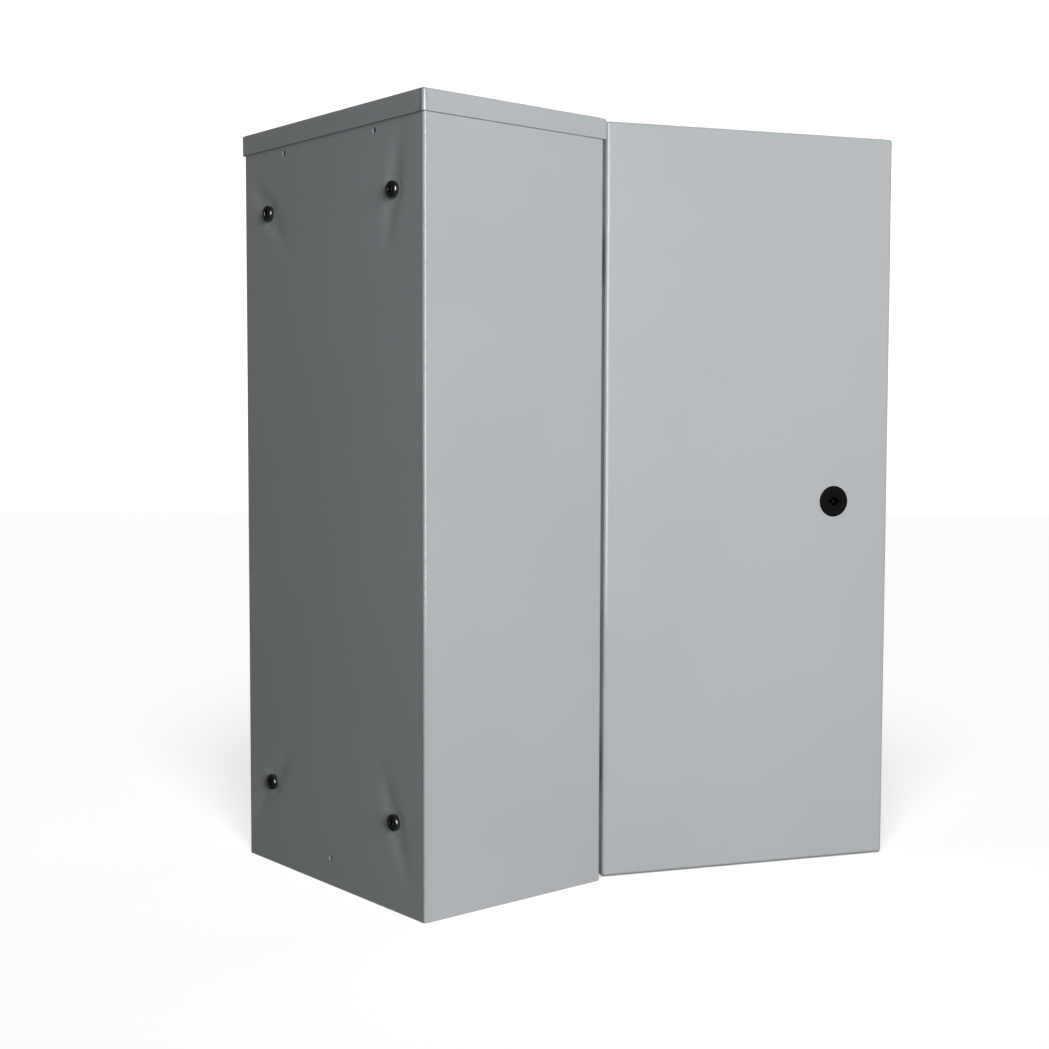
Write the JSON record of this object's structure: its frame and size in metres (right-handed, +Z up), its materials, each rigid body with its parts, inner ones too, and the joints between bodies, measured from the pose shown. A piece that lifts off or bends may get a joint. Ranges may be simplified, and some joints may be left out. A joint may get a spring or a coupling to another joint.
{
  "type": "battery box",
  "caption": "Upright sheet-metal battery box with hinged lockable door, lift-off lid, battery trays and terminal rail.",
  "frame": {"origin": "centre of the body's footprint on its bottom face", "axes": "+X to the right seen from the front, +Y towards the back wall, +Z up; the door is on the -Y face"},
  "size_m": [0.3767, 0.4651, 0.66],
  "materials": {
    "painted_sheet": "light grey powder coat, fine orange peel, satin",
    "painted_hinge": "light grey powder coat",
    "galvanised_steel": "galvanised, soft spangle",
    "bolt_steel": "dark oiled steel, smooth",
    "plated_steel": "bright zinc plate",
    "seal_foam": "closed-cell foam, matt",
    "rubber": "matt black rubber",
    "lock_plastic": "black moulded plastic, fine texture",
    "breaker_shell": "light grey moulded plastic",
    "breaker_handle": "dark blue moulded plastic",
    "terminal_shell": "mid grey moulded plastic"
  },
  "bodies": {
    "cabinet": {"back_panel": "painted_sheet", "left_side_panel": "painted_sheet", "right_side_panel": "painted_sheet", "bottom_panel": "painted_sheet", "top_panel": "painted_sheet", "lid": "painted_sheet", "hinge_arms": "painted_hinge", "upright_left": "galvanised_steel", "upright_right": "galvanised_steel", "lower_tray": "galvanised_steel", "upper_tray": "galvanised_steel", "din_rail": "galvanised_steel", "gland_plate": "galvanised_steel", "wall_bolts": "bolt_steel", "wall_bolt_nuts": "plated_steel", "tray_screws": "plated_steel", "tray_nuts": "plated_steel", "rail_screws": "plated_steel", "rail_nuts": "plated_steel", "hinge_screws": "plated_steel", "hinge_nuts": "plated_steel", "lid_studs": "plated_steel", "lid_nuts": "plated_steel", "gland_plate_studs": "plated_steel", "gland_plate_nuts": "plated_steel", "body_earth_stud": "plated_steel", "body_earth_nut": "plated_steel", "lid_seal": "seal_foam", "cable_grommets": "rubber", "lower_mat": "rubber", "upper_mat": "rubber", "breaker_body": "breaker_shell", "terminal_blocks": "terminal_shell", "rail_end_stops": "terminal_shell"},
    "door": {"door_pan": "painted_sheet", "door_gasket": "seal_foam", "door_stiffener": "painted_sheet", "door_hinge_brackets": "painted_hinge", "hinge_pins": "plated_steel", "door_earth_stud": "plated_steel", "door_earth_nut": "plated_steel", "lock_housing": "lock_plastic", "lock_nut": "lock_plastic"},
    "lock": {"lock_insert": "lock_plastic", "lock_cam": "plated_steel", "cam_screw": "plated_steel"},
    "toggle": {"breaker_toggle": "breaker_handle"}
  },
  "joints": [
    {"name": "door_hinge", "type": "hinge", "parent": "cabinet", "child": "door", "pos_m": [-0.13012, -0.1132, 0.33], "axis": [0, 0, -1], "range_deg": [-112.3, 7.7]},
    {"name": "lock_turn", "type": "hinge", "parent": "door", "child": "lock", "pos_m": [-0.21715, -0.30882, 0.33025], "axis": [-0.9252, 0.3795, 0], "range_deg": [0, 90]},
    {"name": "breaker_switch", "type": "hinge", "parent": "cabinet", "child": "toggle", "pos_m": [-0.042, 0.004, 0.558], "axis": [-1, 0, 0], "range_deg": [0, 50]}
  ]
}
